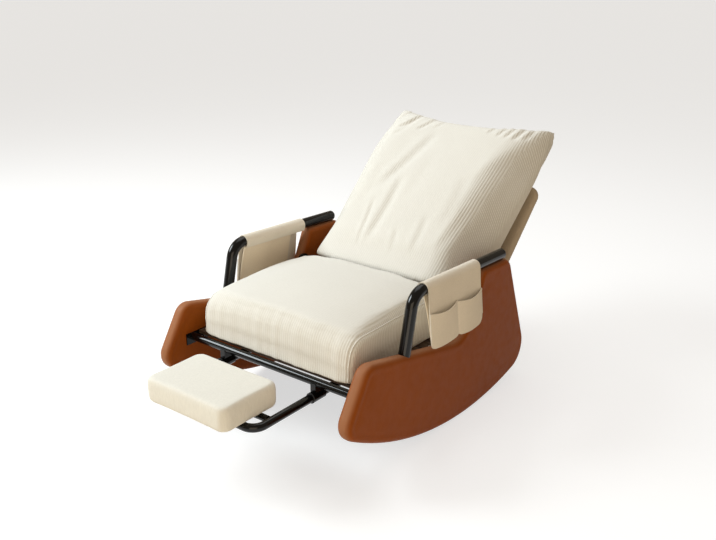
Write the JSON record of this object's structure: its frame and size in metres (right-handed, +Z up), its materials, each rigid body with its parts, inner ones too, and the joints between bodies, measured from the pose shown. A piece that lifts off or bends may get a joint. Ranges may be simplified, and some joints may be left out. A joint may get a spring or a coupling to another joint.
{
  "type": "rocking armchair",
  "caption": "Reclining rocking armchair with upholstered rocker sides, tube arms with fabric pockets, thick seat and back cushions and a pull-out footrest.",
  "frame": {"origin": "on the floor, under the middle of the whole object's bounding box, footrest pulled out and back reclined", "axes": "+X to the sitter's left hand seen from the front (the near arm in the picture), -Y the way the sitter faces, +Y to the rear, +Z up"},
  "size_m": [0.7728, 1.4787, 0.7921],
  "materials": {
    "leather": "satin",
    "board": "matte",
    "slat_wood": "satin",
    "black_tube": "gloss",
    "black_plastic": "satin",
    "zinc_steel": "satin",
    "corduroy": "matte",
    "canvas": "matte",
    "plain_weave": "matte",
    "beige_cloth": "matte",
    "elastic": "matte"
  },
  "bodies": {
    "chair": {"rocker_cover_right": "leather", "rocker_cover_left": "leather", "rocker_board_right": "board", "rocker_board_left": "board", "arm_tube_right": "black_tube", "arm_tube_left": "black_tube", "arm_tube_plugs": "black_plastic", "arm_caddy_right": "canvas", "arm_caddy_left": "canvas", "caddy_pockets_right": "canvas", "caddy_pockets_left": "canvas", "seat_rail_right": "black_tube", "seat_rail_left": "black_tube", "front_crossbar": "black_tube", "rear_crossbar": "black_tube", "middle_crossbar": "black_tube", "seat_slats": "slat_wood", "slat_screws": "zinc_steel", "frame_bolts": "zinc_steel", "hinge_plate_right": "black_tube", "hinge_plate_left": "black_tube", "hinge_pins": "zinc_steel", "seat_cushion": "corduroy", "footrest_guides": "black_tube", "guide_bushes": "black_plastic"},
    "backrest": {"recline_arm_right": "black_tube", "recline_arm_left": "black_tube", "back_lower_bar": "black_tube", "back_frame": "black_tube", "back_straps": "elastic", "back_panel": "beige_cloth", "back_cushion": "corduroy"},
    "footrest_slide": {"footrest_frame": "black_tube", "footrest_pivot_bar": "black_tube", "footrest_stops": "black_tube"},
    "footrest_pad": {"footrest_board": "board", "pad_clips": "black_plastic", "footrest_cushion": "plain_weave"}
  },
  "joints": [
    {"name": "backrest_recline", "type": "hinge", "parent": "chair", "child": "backrest", "pos_m": [0, 0.09825, 0.345], "axis": [1, 0, 0], "range_deg": [0, 30]},
    {"name": "footrest_pull", "type": "slide", "parent": "chair", "child": "footrest_slide", "axis": [0, 1, 0], "range_m": [0, 0.088]},
    {"name": "footrest_flip", "type": "hinge", "parent": "footrest_slide", "child": "footrest_pad", "pos_m": [0, -0.59375, 0.2055], "axis": [-1, 0, 0], "range_deg": [0, 180]}
  ]
}
